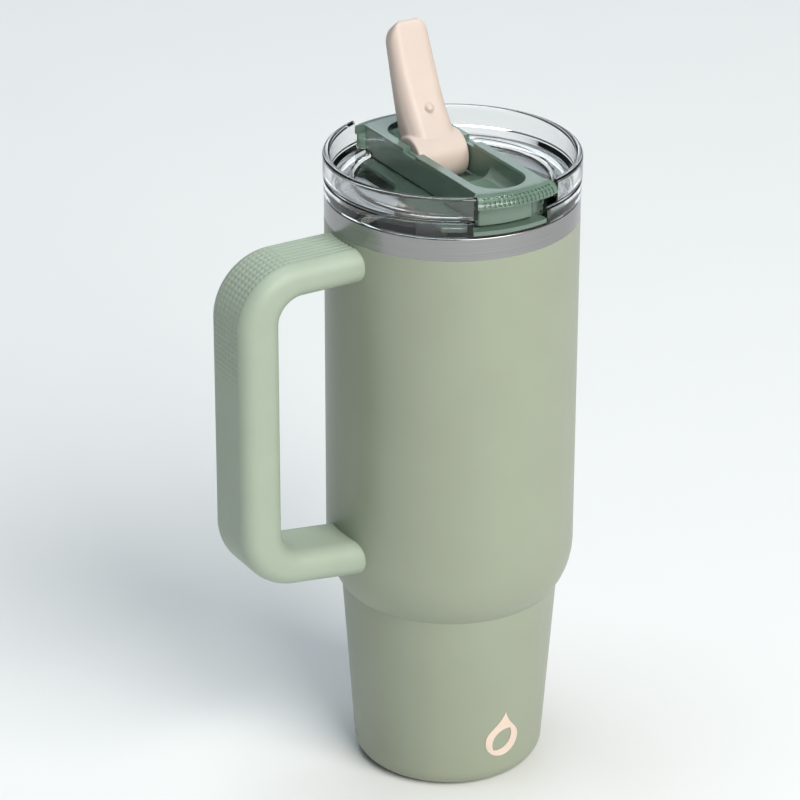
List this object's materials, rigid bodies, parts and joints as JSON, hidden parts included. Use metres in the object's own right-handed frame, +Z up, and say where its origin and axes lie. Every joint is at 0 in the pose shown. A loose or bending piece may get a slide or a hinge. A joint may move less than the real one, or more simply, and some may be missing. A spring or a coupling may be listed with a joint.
{
  "type": "insulated tumbler",
  "caption": "Tall double-walled steel tumbler that narrows to a cup-holder foot, with a side loop handle and a clear screw-on lid carrying a flip-up spout on a bridge.",
  "frame": {"origin": "centre of the foot ring's flat underside, on the body's axis, where the mug stands", "axes": "+Z up the body's axis; the handle points to -X; the lid's bridge runs along Y and the spout folds down towards -Y, the front"},
  "size_m": [0.1485, 0.099, 0.3011],
  "materials": {
    "body_paint": "satin sage powder paint",
    "bare_steel": "brushed stainless steel",
    "soft_grip": "matt soft-touch moulding, sage",
    "stiff_core": "filled nylon",
    "mark_print": "raised blush print",
    "clear_lid": "clear copolyester",
    "green_lid": "translucent green copolyester",
    "spout_silicone": "satin blush silicone",
    "seal_silicone": "translucent white silicone",
    "spout_core": "polypropylene",
    "straw_clear": "clear polypropylene",
    "seal_resin": "solder glass bead"
  },
  "bodies": {
    "mug": {"outer_shell": "body_paint", "inner_liner": "bare_steel", "base_plate": "bare_steel", "vacuum_seal": "seal_resin", "getter": "bare_steel", "front_mark": "mark_print", "handle_core": "stiff_core", "handle_grip": "soft_grip", "handle_brackets": "bare_steel", "handle_screws": "bare_steel", "screw_plugs": "soft_grip"},
    "seal": {"lid_gasket": "seal_silicone"},
    "lid": {"lid_bowl": "clear_lid", "bridge_cover": "green_lid", "bridge_tub": "green_lid", "hinge_pins": "bare_steel", "port_seal": "seal_silicone", "vent_valve": "seal_silicone", "straw_socket": "seal_silicone", "straw": "straw_clear"},
    "spout": {"spout": "spout_silicone", "spout_core": "spout_core"}
  },
  "joints": [
    {"name": "lid_lift", "type": "slide", "parent": "mug", "child": "seal", "axis": [0, 0, 1], "range_m": [0, 0.245]},
    {"name": "lid_turn", "type": "hinge", "parent": "seal", "child": "lid", "pos_m": [0, 0, 0.24], "axis": [0, 0, 1], "range_deg": [0, 540]},
    {"name": "spout_flip", "type": "hinge", "parent": "lid", "child": "spout", "pos_m": [0, 0.0145, 0.2518], "axis": [1, 0, 0], "range_deg": [0, 110]}
  ]
}
